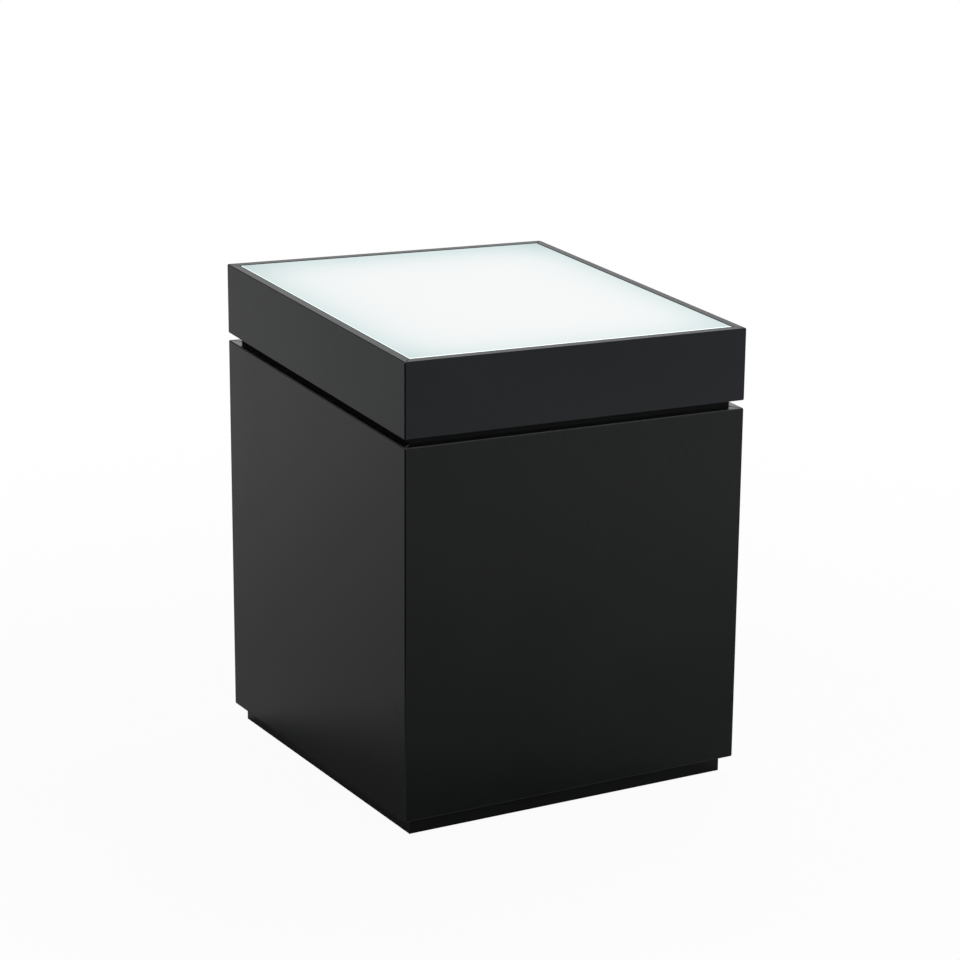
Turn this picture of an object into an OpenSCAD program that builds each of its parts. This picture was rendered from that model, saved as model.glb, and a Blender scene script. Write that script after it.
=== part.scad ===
// Light-box pedestal: a laminated cabinet on a recessed plinth, with a lift-off lit top.
// The front faces -Y and +Z is up. The origin is on the floor, under the middle of the cabinet.
// The cabinet's top, the shadow gap, the lit top and the glass share one slope that climbs to the back.
// Lengths are millimetres and angles are degrees.

/* [Cabinet] */
// Width of the cabinet and of the lit top
body_w = 610; // [560:5:760]
// Depth of the cabinet and of the lit top
body_d = 635; // [560:5:760]
// Height of the cabinet's front edge above the floor
body_h = 614; // [560:1:900]
// How far the whole top rises from its front to its back
top_rise = 58; // [30:1:80]
// Thickness of the laminated boards
board_t = 16; // [15:0.5:18]

/* [Plinth] */
// Height of the plinth boards
plinth_h = 27; // [24:1:80]
// How far the plinth is set back from the cabinet's faces
plinth_recess = 16; // [16:1:40]

/* [Inside framing] */
// Side of the square corner posts
post_t = 28; // [24:1:30]
// Width of the battens that carry the deck
batten_w = 28; // [24:1:30]
// Height of the battens that carry the deck
batten_h = 20; // [16:1:30]

/* [Collar and shadow gap] */
// Height of the shadow gap under the lit top
gap_h = 13; // [9:0.5:18]
// Thickness of the collar boards
collar_t = 12; // [10:0.5:14]
// How far the collar reaches up inside the lit top
collar_rise = 30; // [20:1:40]
// Clearance between the collar and the rails it locates
collar_clear = 1; // [0.5:0.25:2]

/* [Lit top] */
// Height of the rails of the lit top
rail_h = 116; // [100:1:160]
// Thickness of the liner boards that carry the glass
liner_t = 12; // [11:0.5:14]

/* [Glass] */
// Thickness of the frosted glass
glass_t = 6; // [4:1:10]
// Clearance round the glass
glass_clear = 1; // [0.5:0.25:2]
// Thickness of the bedding tape under the glass
tape_t = 2; // [1:0.5:3]
// Width of the bedding tape
tape_w = 8; // [5:0.5:9]

/* [LED bars] */
// Spacing of the LED bars, measured up the slope
led_pitch = 120; // [90:5:130]
// Room left at each end of an LED bar for its end cap and lead
led_end_space = 50; // [40:1:90]
// Width of the aluminium channel
channel_w = 18; // [16:0.5:24]
// Height of the aluminium channel
channel_h = 9; // [8:0.5:14]
// Wall thickness of the aluminium channel
channel_wall = 1.2; // [1:0.1:1.6]
// Wall thickness of the milky cover
cover_t = 1; // [0.8:0.1:1.4]
// Width of the LED strip
strip_w = 10; // [8:0.5:12]
// Spacing of the LEDs along the strip
chip_pitch = 30; // [15:1:60]
// Thickness of an end cap
cap_t = 2; // [1.5:0.5:4]
// Thickness of the spring-steel clips
clip_t = 0.8; // [0.6:0.1:1.2]
// Length of a clip along the bar
clip_l = 14; // [10:1:24]

/* [Mains inlet and switch] */
// Distance of the inlet and the driver from the cabinet's right face
services_inset = 90; // [90:1:180]
// Height of the inlet's middle above the floor
inlet_z = 120; // [110:1:180]
// Width of the cut-out in the back panel
cutout_w = 56; // [50:1:70]
// Height of the cut-out in the back panel
cutout_h = 86; // [78:1:100]
// How far the steel plate laps round the cut-out
plate_lap = 14; // [12:1:15]
// Thickness of the steel plate
plate_t = 2; // [1.5:0.5:3]
// Angle through which the switch's rocker tips
rocker_travel = 14; // [8:1:18]

/* [LED driver] */
// Height of the driver's lower end above the floor
driver_z = 240; // [235:1:300]
// Width of the driver
driver_w = 50; // [40:1:60]
// Length of the driver, its screw ears included
driver_l = 170; // [140:1:190]
// Depth of the driver, out from the back panel
driver_h = 30; // [24:1:40]

/* [Leads] */
// Diameter of the mains lead inside the cabinet
mains_lead_d = 6.5; // [5:0.5:8]
// Diameter of the low-voltage leads to the lamps
lamp_lead_d = 4; // [3:0.5:5]

/* [Hidden] */
$fn = 48;
led_count = 4;
SIDES = ["front", "back", "left", "right"];
CORNERS = ["front_left", "front_right", "back_left", "back_right"];

// Colours of the bare materials
LAMINATE = [0.09, 0.09, 0.1];
WHITE_PAINT = [0.93, 0.93, 0.91];
PINE = [0.78, 0.62, 0.42];
STEEL = [0.6, 0.61, 0.62];
BLACK_STEEL = [0.12, 0.12, 0.13];
ALUMINIUM = [0.76, 0.77, 0.79];
MILKY = [0.95, 0.96, 0.95];
BLACK_PLASTIC = [0.05, 0.05, 0.06];
RUBBER = [0.08, 0.08, 0.08];
BRASS = [0.78, 0.62, 0.3];
FROSTED = [0.88, 0.95, 0.93];

// The slope of the top
slope_deg = atan(top_rise / body_d);
slope_len = body_d / cos(slope_deg);
// Further out than anything that is cut
reach = body_w + body_d;

// Inner faces of the four walls
inner_w = body_w - 2 * board_t;
inner_d = body_d - 2 * board_t;
back_y = body_d / 2 - board_t;

// Collar: outside size, and the distance of its inner face from the cabinet's face
collar_in = board_t + collar_clear;
collar_w = body_w - 2 * collar_in;
collar_d = body_d - 2 * collar_in;
chamber_in = collar_in + collar_t;

// Heights above the deck, measured straight up
collar_top = gap_h + collar_rise;
top_level = gap_h + rail_h;
liner_top = top_level - upright(glass_t + tape_t);

// LED bars
led_len = body_w - 2 * chamber_in - 2 * led_end_space;
channel_floor = 1.5;
channel_lip = 0.8;
groove_z = [3.2, 4.4];
groove_depth = 0.4;
dome_drop = 4;
dome_r = sqrt(pow(channel_w / 2, 2) + pow(dome_drop, 2));
snap_ease = 0.1;
strip_t = 1;
chip_size = 5;
chip_h = 1.4;
clip_inset = 60;
clip_wall_h = 6;
lead_z = clip_t + channel_floor + strip_t + lamp_lead_d / 2;
link_reach = 18;

// Grommet in the deck, behind the last bar, clear of the battens
grommet_bore_r = lamp_lead_d / 2 + 4;
grommet_hole_r = grommet_bore_r + 3;
grommet_flange_r = grommet_hole_r + 3;
grommet_flange_t = 2;
grommet_x = led_len / 2 + cap_t + link_reach;
grommet_y = slope_y(body_d - board_t - batten_w - grommet_flange_r - 3, 0);

// Screws: [length, shank diameter, head diameter]
DECK_SCREW = [30, 3.8, 8];
COLLAR_SCREW = [34, 3.8, 8];
PLINTH_SCREW = [36, 3.8, 8];
CLIP_SCREW = [13, 3, 6];
PLATE_SCREW = [12, 3, 6];
DRIVER_SCREW = [14, 3.4, 7];
hole_ease = 0.05;
screw_margin = 60;

// Gap between the strips of bedding tape at the corners
tape_gap = 0.5;

// Inlet housing, measured from the plate's outer face
services_x = body_w / 2 - services_inset;
flange_w = 34;
flange_h = 66;
flange_t = 2.5;
housing_w = 28;
housing_h = 58;
housing_depth = 30;
housing_ease = 0.2;
gland_l = 8;
socket_w = 24.4;
socket_h = 16.4;
socket_z = 13;
socket_depth = 17;
socket_chamfer = 4;
pin_w = 2;
pin_h = 4;
pin_setback = 5;
pin_root = 6;
pin_spread = 7;
pin_stagger = 2;
window_w = 22.6;
window_h = 15;
window_z = -18;
window_depth = 12;
rocker_gap = 0.2;
rocker_sink = 2;
rocker_foot = 5;
trunnion_r = 1.5;
trunnion_l = 1.2;
trunnion_ease = 0.05;

// Driver
ear_l = 12;
ear_t = 3;
driver_axis = driver_h / 2;
driver_chamfer = 3;

// Leads inside the cabinet: each leaves its gland straight, then bends to the next run
clip_stand = 6;
lead_clip_h = 8;
lead_sides = 12;
mains_bend = 20;
mains_reach = 26;
mains_swing_h = 40;
lamp_bend = 10;
lamp_reach = 25;
lamp_slack_h = 50;
lamp_clear_h = 80;
inlet_rear_y = back_y - housing_depth - gland_l;
lamp_run_z = [driver_z + driver_l + lamp_slack_h, body_h - lamp_clear_h];
mains_points = [
    [services_x, inlet_rear_y, inlet_z],
    [services_x, inlet_rear_y - mains_reach, inlet_z],
    [services_x, inlet_rear_y - mains_reach, driver_z - mains_reach - mains_swing_h],
    [services_x, back_y - driver_axis, driver_z - mains_reach],
    [services_x, back_y - driver_axis, driver_z + ear_l - gland_l],
];
lamp_points = [
    [services_x, back_y - driver_axis, driver_z + driver_l - ear_l + gland_l],
    [services_x, back_y - driver_axis, driver_z + driver_l + lamp_reach],
    [services_x, back_y - clip_stand, lamp_run_z[0]],
    [services_x, back_y - clip_stand, lamp_run_z[1]],
    slope_point([grommet_x, grommet_y, -board_t - lamp_reach]),
    slope_point([grommet_x, grommet_y, lead_z]),
    slope_point([grommet_x, led_y(led_count), lead_z]),
    slope_point([led_len / 2, led_y(led_count), lead_z]),
];

// ---- The slope ----

// Height of the deck's top surface at a distance y from the middle
function deck_z(y) = body_h + (y + body_d / 2) * top_rise / body_d;

// Straight-up height that holds a thickness measured square to the slope
function upright(t) = t / cos(slope_deg);

// Place along the slope of a vertical plane that lies depth behind the front face
function slope_y(depth, z) = (depth + z * sin(slope_deg)) / cos(slope_deg);

// A point of the slope's own frame, as a point of the part
function slope_point(p) = [
    p[0],
    p[1] * cos(slope_deg) - p[2] * sin(slope_deg) - body_d / 2,
    p[1] * sin(slope_deg) + p[2] * cos(slope_deg) + body_h
];

// The slope's own frame: y runs up the slope from the front face and z is square to it
module on_slope(lift = 0) {
    translate([0, -body_d / 2, body_h + lift]) rotate([slope_deg, 0, 0]) children();
}

// Everything between two heights above the deck
module sloping_layer(low, high) {
    rotate([90, 0, 90]) linear_extrude(height = body_w + 2, center = true)
        polygon([
            [-reach, deck_z(-reach) + low], [reach, deck_z(reach) + low],
            [reach, deck_z(reach) + high], [-reach, deck_z(-reach) + high]
        ]);
}

// Everything from a level floor up to a height below the deck's surface
module up_to_deck(floor_z, below) {
    rotate([90, 0, 90]) linear_extrude(height = body_w + 2, center = true)
        polygon([
            [-body_d, floor_z], [body_d, floor_z],
            [body_d, deck_z(body_d) - below], [-body_d, deck_z(-body_d) - below]
        ]);
}

// ---- Boards round a rectangle ----

function side_turn(side) = side == "front" ? 0 : side == "right" ? 90 : side == "back" ? 180 : 270;
function is_cross(side) = side == "front" || side == "back";

// Plan of one board round a w by d rectangle, with its ends cut at 45 degrees
module mitred_plan(side, w, d, t) {
    run = is_cross(side) ? w : d;
    off = is_cross(side) ? d : w;
    rotate(side_turn(side))
        polygon([[-run / 2, -off / 2], [run / 2, -off / 2], [run / 2 - t, t - off / 2], [t - run / 2, t - off / 2]]);
}

// Plan of one board round a w by d rectangle: front and back run through, the sides fit between them
module butted_plan(side, w, d, t) {
    run = is_cross(side) ? w : d - 2 * t;
    off = is_cross(side) ? d : w;
    rotate(side_turn(side)) translate([-run / 2, -off / 2]) square([run, t]);
}

// Stands children at evenly spaced places along one side, depth in from the cabinet's face
module along_side(side, depth, count) {
    run = (is_cross(side) ? body_w : body_d) - 2 * (board_t + screw_margin);
    off = is_cross(side) ? body_d : body_w;
    rotate(side_turn(side))
        for (k = [0 : count - 1])
            translate([run * (k / (count - 1) - 0.5), depth - off / 2, 0]) children();
}

// ---- Screws and leads ----

// Countersunk wood screw, head up at the origin; grow widens it into its own hole
module countersunk(size, grow = 0) {
    shank_r = size[1] / 2 + grow;
    head_r = size[2] / 2 + grow;
    tip = size[1];
    rotate_extrude() polygon([
        [0, grow * 20], [head_r, grow * 20], [head_r, 0], [shank_r, shank_r - head_r],
        [shank_r, tip - size[0]], [0, -size[0] - grow]
    ]);
}

// Pan-head wood screw, its head standing on the plane z = 0
module pan_head(size, grow = 0) {
    shank_r = size[1] / 2 + grow;
    head_r = size[2] / 2 + grow;
    head_h = size[2] * 0.3;
    rotate_extrude() polygon([
        [0, head_h], [head_r * 0.6, head_h], [head_r, head_h * 0.4], [head_r, 0], [shank_r, 0],
        [shank_r, size[1] - size[0]], [0, -size[0] - grow]
    ]);
}

function unit(v) = v / norm(v);

// Points round one bend of a lead, which turns at p on its way from a to b
function bend_points(a, p, b, bend_r) =
    let (
        in = unit(p - a), out = unit(b - p), turn = acos(in * out),
        inward = unit(out - in * (in * out)), start = p - in * bend_r * tan(turn / 2),
        steps = max(2, ceil(turn / 22.5))
    )
    [for (k = [0 : steps]) start + in * bend_r * sin(turn * k / steps)
        + inward * bend_r * (1 - cos(turn * k / steps))];

// The whole route of a lead: its ends, and a bend at each point between them
function route(points, bend_r) =
    let (last = len(points) - 1)
    [
        points[0],
        for (k = [1 : last - 1]) each bend_points(points[k - 1], points[k], points[k + 1], bend_r),
        points[last]
    ];

// Direction of a route at point k
function heading(way, k) = unit(way[min(k + 1, len(way) - 1)] - way[max(k - 1, 0)]);

// Part of v that is square to w, at unit length
function square_to(v, w) = unit(v - w * (v * w));

// A lead along a list of points: one closed tube, carried round its bends without twisting
module lead(points, d, bend_r) {
    way = route(points, bend_r);
    last = len(way) - 1;
    first = heading(way, 0);
    side_dirs = [
        for (k = 0, n = square_to(abs(first[2]) < 0.9 ? [0, 0, 1] : [1, 0, 0], first);
            k <= last; k = k + 1, n = k <= last ? square_to(n, heading(way, k)) : n) n
    ];
    skin = [
        for (k = [0 : last], j = [0 : lead_sides - 1])
            let (n = side_dirs[k], m = cross(heading(way, k), n), turn = 360 * j / lead_sides)
            way[k] + (n * cos(turn) + m * sin(turn)) * d / 2
    ];
    quads = [
        for (k = [0 : last - 1], j = [0 : lead_sides - 1])
            let (a = k * lead_sides + j, b = k * lead_sides + (j + 1) % lead_sides)
            [a, b, a + lead_sides, b + lead_sides]
    ];
    polyhedron(skin, concat(
        [for (q = quads) each [[q[0], q[2], q[1]], [q[1], q[2], q[3]]]],
        [[for (j = [0 : lead_sides - 1]) j]],
        [[for (j = [lead_sides - 1 : -1 : 0]) last * lead_sides + j]]
    ));
}

// ---- Cabinet ----

// One mitred wall, level at the foot and cut to the slope at the top
module wall(side) {
    color(LAMINATE) intersection() {
        linear_extrude(height = 2 * body_h) mitred_plan(side, body_w, body_d, board_t);
        up_to_deck(plinth_h, 0);
    }
}

module front_panel() wall("front");

module left_panel() wall("left");

module right_panel() wall("right");

module back_panel() {
    color(LAMINATE) difference() {
        wall("back");
        at_inlet() translate([-cutout_w / 2, -1, -cutout_h / 2]) cube([cutout_w, board_t + 2, cutout_h]);
        plate_screw_places() countersunk(PLATE_SCREW, hole_ease);
        driver_screw_places() pan_head(DRIVER_SCREW, hole_ease);
    }
}

// Floor of the cabinet, between the walls
module bottom_panel() {
    color(LAMINATE) difference() {
        translate([-inner_w / 2, -inner_d / 2, plinth_h]) cube([inner_w, inner_d, board_t]);
        plinth_screw_places() countersunk(PLINTH_SCREW, hole_ease);
    }
}

// Sloping top of the cabinet, flush with the walls' top edges and white over the lamps
module deck_panel() {
    color(WHITE_PAINT) difference() {
        intersection() {
            translate([-inner_w / 2, -inner_d / 2, 0]) cube([inner_w, inner_d, 2 * body_h]);
            sloping_layer(-upright(board_t), 0);
        }
        deck_screw_places() countersunk(DECK_SCREW, hole_ease);
        collar_screw_places() countersunk(COLLAR_SCREW, hole_ease);
        clip_screw_places() countersunk(CLIP_SCREW, hole_ease);
        on_slope() translate([grommet_x, grommet_y, -board_t - 1])
            cylinder(h = board_t + 2, r = grommet_hole_r);
    }
}

module plinth_board(side) {
    color(LAMINATE) difference() {
        linear_extrude(height = plinth_h)
            butted_plan(side, body_w - 2 * plinth_recess, body_d - 2 * plinth_recess, board_t);
        plinth_screw_places() countersunk(PLINTH_SCREW, hole_ease);
    }
}

// Square post glued into one corner, from the bottom panel to the deck
module corner_post(corner) {
    right = corner == "front_right" || corner == "back_right";
    back = corner == "back_left" || corner == "back_right";
    color(PINE) intersection() {
        mirror([right ? 1 : 0, 0, 0]) mirror([0, back ? 1 : 0, 0])
            translate([-inner_w / 2, -inner_d / 2, 0]) cube([post_t, post_t, 2 * body_h]);
        up_to_deck(plinth_h + board_t, upright(board_t));
    }
}

// Battens between the posts, glued to the walls, that the deck is screwed down to
module deck_battens() {
    color(PINE) difference() {
        intersection() {
            for (side = SIDES) batten_bar(side);
            sloping_layer(-upright(board_t) - batten_h, -upright(board_t));
        }
        deck_screw_places() countersunk(DECK_SCREW, hole_ease);
    }
}

module batten_bar(side) {
    run = (is_cross(side) ? inner_w : inner_d) - 2 * post_t;
    off = is_cross(side) ? inner_d : inner_w;
    rotate(side_turn(side)) translate([-run / 2, -off / 2, 0]) cube([run, batten_w, 2 * body_h]);
}

// One board of the collar that stands on the deck and reaches up into the lit top
module collar(side) {
    color(LAMINATE) difference() {
        intersection() {
            linear_extrude(height = 2 * body_h) butted_plan(side, collar_w, collar_d, collar_t);
            sloping_layer(0, collar_top);
        }
        collar_screw_places() countersunk(COLLAR_SCREW, hole_ease);
    }
}

// ---- Fasteners of the cabinet ----

// Places along one side of the deck's surface, in the slope's own frame. They lie depth in from the
// cabinet's face, measured at the height aim above the deck.
module on_deck_side(side, depth, count, aim = 0) {
    margin = board_t + screw_margin;
    for (k = [0 : count - 1]) {
        share = k / (count - 1);
        across = is_cross(side) ? (share - 0.5) * (body_w - 2 * margin)
            : (side == "left" ? -1 : 1) * (body_w / 2 - depth);
        back_by = side == "front" ? depth : side == "back" ? body_d - depth
            : margin + share * (body_d - 2 * margin);
        on_slope() translate([across, slope_y(back_by, aim), 0]) children();
    }
}

// Deck screws go down just inside the collar, square to the deck
module deck_screw_places() {
    depth = chamber_in + DECK_SCREW[2] / 2 + 2.5;
    for (side = SIDES) on_deck_side(side, depth, is_cross(side) ? 3 : 2) children();
}

// Collar screws come up through the deck from below, into the middle of each collar board
module collar_screw_places() {
    bite = COLLAR_SCREW[0] - board_t;
    for (side = SIDES)
        on_deck_side(side, collar_in + collar_t / 2, 3, bite / 2)
            translate([0, 0, -board_t]) rotate([180, 0, 0]) children();
}

// Plinth screws go down through the bottom panel into the middle of each plinth board
module plinth_screw_places() {
    for (side = SIDES)
        along_side(side, plinth_recess + board_t / 2, 3) translate([0, 0, plinth_h + board_t]) children();
}

module deck_screws() color(STEEL) deck_screw_places() countersunk(DECK_SCREW);

module collar_screws() color(STEEL) collar_screw_places() countersunk(COLLAR_SCREW);

module plinth_screws() color(STEEL) plinth_screw_places() countersunk(PLINTH_SCREW);

// ---- LED bars ----

function led_y(i) = slope_len / 2 + (i - (led_count + 1) / 2) * led_pitch;

// Frame of one bar: x along the bar, y up the slope, z square to the deck
module at_bar(i) {
    on_slope() translate([0, led_y(i), 0]) children();
}

// Extrudes a profile drawn in y and z along the bar's x
module along_bar(length) {
    rotate([90, 0, 90]) linear_extrude(height = length, center = true) children();
}

// Closes a profile given from the bottom to the top of its right-hand side
function both_halves(half) = concat(half, [for (k = [len(half) - 1 : -1 : 0]) [-half[k][0], half[k][1]]]);

// Aluminium channel with lips that hold the cover and grooves that the clips hold
module led_channel(i) {
    w = channel_w / 2;
    inside = w - channel_wall;
    color(ALUMINIUM) at_bar(i) translate([0, 0, clip_t]) along_bar(led_len) polygon(both_halves([
        [w, 0], [w, groove_z[0]], [w - groove_depth, groove_z[0]], [w - groove_depth, groove_z[1]],
        [w, groove_z[1]], [w, channel_h], [inside - channel_lip, channel_h],
        [inside - channel_lip, channel_h - channel_lip], [inside, channel_h - channel_lip],
        [inside, channel_floor]
    ]));
}

// Strip with its row of LEDs, stuck down in the channel
module led_strip(i) {
    chips = floor(led_len / chip_pitch);
    color(WHITE_PAINT) at_bar(i) translate([0, 0, clip_t + channel_floor]) {
        translate([-led_len / 2, -strip_w / 2, 0]) cube([led_len, strip_w, strip_t]);
        for (k = [1 : chips])
            translate([(k - (chips + 1) / 2) * chip_pitch - chip_size / 2, -chip_size / 2, strip_t])
                cube([chip_size, chip_size, chip_h]);
    }
}

// Domed milky cover that snaps under the channel's lips
module led_cover(i) {
    color(MILKY) at_bar(i) translate([0, 0, clip_t]) {
        along_bar(led_len) intersection() {
            translate([0, channel_h - dome_drop]) difference() {
                circle(dome_r);
                circle(dome_r - cover_t);
            }
            translate([-channel_w / 2, channel_h]) square([channel_w, dome_r]);
        }
        for (side = [0, 1]) mirror([0, side, 0]) along_bar(led_len) snap_leg();
    }
}

// One leg of the cover, with the barb that catches under the lip
module snap_leg() {
    outer = channel_w / 2 - channel_wall - channel_lip - snap_ease;
    inner = outer - cover_t;
    barb_z = channel_h - channel_lip - snap_ease;
    dome_z = channel_h - dome_drop + sqrt(pow(dome_r - cover_t / 2, 2) - pow(inner, 2));
    polygon([
        [inner, dome_z], [inner, barb_z - 2], [outer, barb_z - 2],
        [outer + channel_lip * 0.6, barb_z - 0.8], [outer + channel_lip * 0.6, barb_z],
        [outer, barb_z], [outer, channel_h], [outer, dome_z - 1]
    ]);
}

// A cap at each end of each bar; the ones that a lead enters have a hole
module led_end_caps() {
    color(WHITE_PAINT) for (i = [1 : led_count], end = [-1, 1]) at_bar(i) difference() {
        translate([end * (led_len + cap_t) / 2, 0, clip_t]) along_bar(cap_t) {
            translate([-channel_w / 2, 0]) square([channel_w, channel_h]);
            intersection() {
                translate([0, channel_h - dome_drop]) circle(dome_r);
                translate([-channel_w / 2, channel_h]) square([channel_w, dome_r]);
            }
        }
        if (lead_enters(i, end))
            translate([end * led_len / 2 - cap_t, 0, lead_z]) rotate([0, 90, 0])
                translate([0, 0, -cap_t]) cylinder(h = 4 * cap_t, r = lamp_lead_d / 2 + hole_ease);
    }
}

// The feed comes in at the right end of the last bar, and the links then zigzag to the front
function link_end(i) = (led_count - i) % 2 == 0 ? -1 : 1;
function lead_enters(i, end) = end == link_end(i) ? i > 1 : true;

// Two spring-steel clips under each bar, which grip the channel's grooves
module led_clips() {
    color(STEEL) difference() {
        for (i = [1 : led_count], end = [-1, 1])
            at_bar(i) translate([end * (led_len / 2 - clip_inset), 0, 0]) along_bar(clip_l)
                polygon(both_halves(clip_half()));
        clip_screw_places() countersunk(CLIP_SCREW, hole_ease);
    }
}

function clip_half() =
    let (w = channel_w / 2 + snap_ease, bead = w - groove_depth * 0.8)
    [
        [w + clip_t, 0], [w + clip_t, clip_wall_h + clip_t], [w, clip_wall_h + clip_t],
        [w, groove_z[1] + clip_t - 0.1], [bead, groove_z[1] + clip_t - 0.3],
        [bead, groove_z[0] + clip_t + 0.3], [w, groove_z[0] + clip_t + 0.1], [w, clip_t]
    ];

module clip_screw_places() {
    for (i = [1 : led_count], end = [-1, 1])
        at_bar(i) translate([end * (led_len / 2 - clip_inset), 0, clip_t]) children();
}

module led_clip_screws() color(STEEL) clip_screw_places() countersunk(CLIP_SCREW);

// Short leads that pass the supply from each bar to the one in front of it
module led_links() {
    color(WHITE_PAINT) for (i = [2 : led_count]) {
        end = link_end(i);
        turn_x = end * (led_len / 2 + cap_t + link_reach);
        on_slope() lead([
            [end * led_len / 2, led_y(i), lead_z], [turn_x, led_y(i), lead_z],
            [turn_x, led_y(i - 1), lead_z], [end * led_len / 2, led_y(i - 1), lead_z]
        ], lamp_lead_d, lamp_bend);
    }
}

// Rubber grommet that the lamp lead comes up through
module deck_grommet() {
    low = -board_t - grommet_flange_t;
    color(RUBBER) on_slope() translate([grommet_x, grommet_y, 0]) rotate_extrude() polygon([
        [grommet_bore_r, low], [grommet_flange_r, low], [grommet_flange_r, -board_t],
        [grommet_hole_r, -board_t], [grommet_hole_r, 0], [grommet_flange_r, 0],
        [grommet_flange_r, grommet_flange_t], [grommet_bore_r, grommet_flange_t]
    ]);
}

// ---- Supply, inside the cabinet and in the back panel ----

module at_inlet() {
    translate([services_x, back_y, inlet_z]) children();
}

// Blackened steel plate on the inside of the back panel, behind the cut-out
module inlet_plate() {
    w = cutout_w + 2 * plate_lap;
    h = cutout_h + 2 * plate_lap;
    color(BLACK_STEEL) difference() {
        at_inlet() translate([-w / 2, -plate_t, -h / 2]) cube([w, plate_t, h]);
        at_inlet() translate([-housing_w / 2 - housing_ease, -plate_t - 1, -housing_h / 2 - housing_ease])
            cube([housing_w + 2 * housing_ease, plate_t + 2, housing_h + 2 * housing_ease]);
        plate_screw_places() countersunk(PLATE_SCREW, hole_ease);
    }
}

// Screws at the plate's corners, driven from inside the cabinet
module plate_screw_places() {
    at_inlet() for (x = [-1, 1], z = [-1, 1])
        translate([x * (cutout_w + plate_lap) / 2, -plate_t, z * (cutout_h + plate_lap) / 2])
            rotate([90, 0, 0]) children();
}

module inlet_plate_screws() color(STEEL) plate_screw_places() countersunk(PLATE_SCREW);

// Moulded housing: a three-pin appliance inlet above a switch aperture, behind one flange
module inlet_housing() {
    color(BLACK_PLASTIC) at_inlet() difference() {
        union() {
            translate([-flange_w / 2, 0, -flange_h / 2]) cube([flange_w, flange_t, flange_h]);
            translate([-housing_w / 2, -housing_depth, -housing_h / 2])
                cube([housing_w, housing_depth, housing_h]);
            translate([0, -housing_depth, 0]) rotate([90, 0, 0])
                cylinder(h = gland_l, r = mains_lead_d / 2 + 1.8);
        }
        translate([0, flange_t + 1, socket_z]) rotate([90, 0, 0])
            linear_extrude(height = socket_depth + 1) socket_outline();
        for (p = pin_places()) pin_blade(p);
        translate([-window_w / 2, flange_t - window_depth, window_z - window_h / 2])
            cube([window_w, window_depth + 1, window_h]);
        at_trunnions() translate([0, 0, -window_w / 2 - trunnion_l - 0.2])
            cylinder(h = window_w + 2 * trunnion_l + 0.4, r = trunnion_r + trunnion_ease);
    }
}

// Mouth of the inlet: a rectangle with its two upper corners cut off
module socket_outline() {
    w = socket_w / 2;
    h = socket_h / 2;
    polygon([[-w, -h], [w, -h], [w, h - socket_chamfer], [w - socket_chamfer, h],
        [socket_chamfer - w, h], [-w, h - socket_chamfer]]);
}

// Live and neutral side by side, with the earth pin between and above them
function pin_places() = [[-pin_spread, socket_z - pin_stagger], [pin_spread, socket_z - pin_stagger],
    [0, socket_z + pin_stagger]];

module pin_blade(p) {
    root = socket_depth - flange_t + pin_root;
    translate([p[0] - pin_w / 2, -root, p[1] - pin_h / 2]) cube([pin_w, root + flange_t - pin_setback, pin_h]);
}

module inlet_pins() color(BRASS) at_inlet() for (p = pin_places()) pin_blade(p);

// The switch's pivot: its axis runs across the housing
module at_trunnions() {
    translate([0, flange_t - rocker_sink, window_z]) rotate([0, 90, 0]) children();
}

// Rocker of the switch, drawn tipped to on, with its lower half pressed in
module rocker() {
    r = window_h / 2 - rocker_gap;
    w = window_w - 2 * rocker_gap;
    color(BLACK_PLASTIC) at_inlet() translate([0, flange_t - rocker_sink, window_z])
        rotate([-rocker_travel / 2, 0, 0]) {
            rotate([90, 0, 90]) linear_extrude(height = w, center = true) intersection() {
                circle(r);
                polygon([[4.8, -r], [2.2, 0], [4.8, r], [-rocker_foot, r], [-rocker_foot, -r]]);
            }
            rotate([0, 90, 0]) cylinder(h = w + 2 * trunnion_l, r = trunnion_r, center = true);
        }
}

// LED driver: a ribbed case with a screw ear and a lead gland at each end
module driver_case() {
    w = driver_w / 2;
    case_l = driver_l - 2 * ear_l;
    color(ALUMINIUM) difference() {
        translate([services_x, back_y, driver_z]) {
            translate([-w, -ear_t, 0]) cube([driver_w, ear_t, driver_l]);
            translate([0, 0, ear_l]) linear_extrude(height = case_l) polygon(both_halves([
                [w, 0], [w, driver_chamfer - driver_h], [w - driver_chamfer, -driver_h],
                [w * 0.6, -driver_h], [w * 0.6, 2 - driver_h], [w * 0.4, 2 - driver_h], [w * 0.4, -driver_h],
                [w * 0.2, -driver_h], [w * 0.2, 2 - driver_h]
            ]));
            translate([0, -driver_axis, ear_l - gland_l]) cylinder(h = gland_l, r = mains_lead_d / 2 + 1.8);
            translate([0, -driver_axis, ear_l + case_l]) cylinder(h = gland_l, r = lamp_lead_d / 2 + 1.8);
        }
        driver_screw_places() pan_head(DRIVER_SCREW, hole_ease);
    }
}

module driver_screw_places() {
    for (x = [-1, 1], z = [ear_l / 2, driver_l - ear_l / 2])
        translate([services_x + x * driver_w * 0.34, back_y - ear_t, driver_z + z]) rotate([90, 0, 0]) children();
}

module driver_screws() color(STEEL) driver_screw_places() pan_head(DRIVER_SCREW);

// Mains lead from the inlet to the driver, whole
module mains_lead() color(RUBBER) lead(mains_points, mains_lead_d, mains_bend);

// Low-voltage lead from the driver, up the back panel and through the grommet to the last bar
module lamp_lead() color(WHITE_PAINT) lead(lamp_points, lamp_lead_d, lamp_bend);

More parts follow.
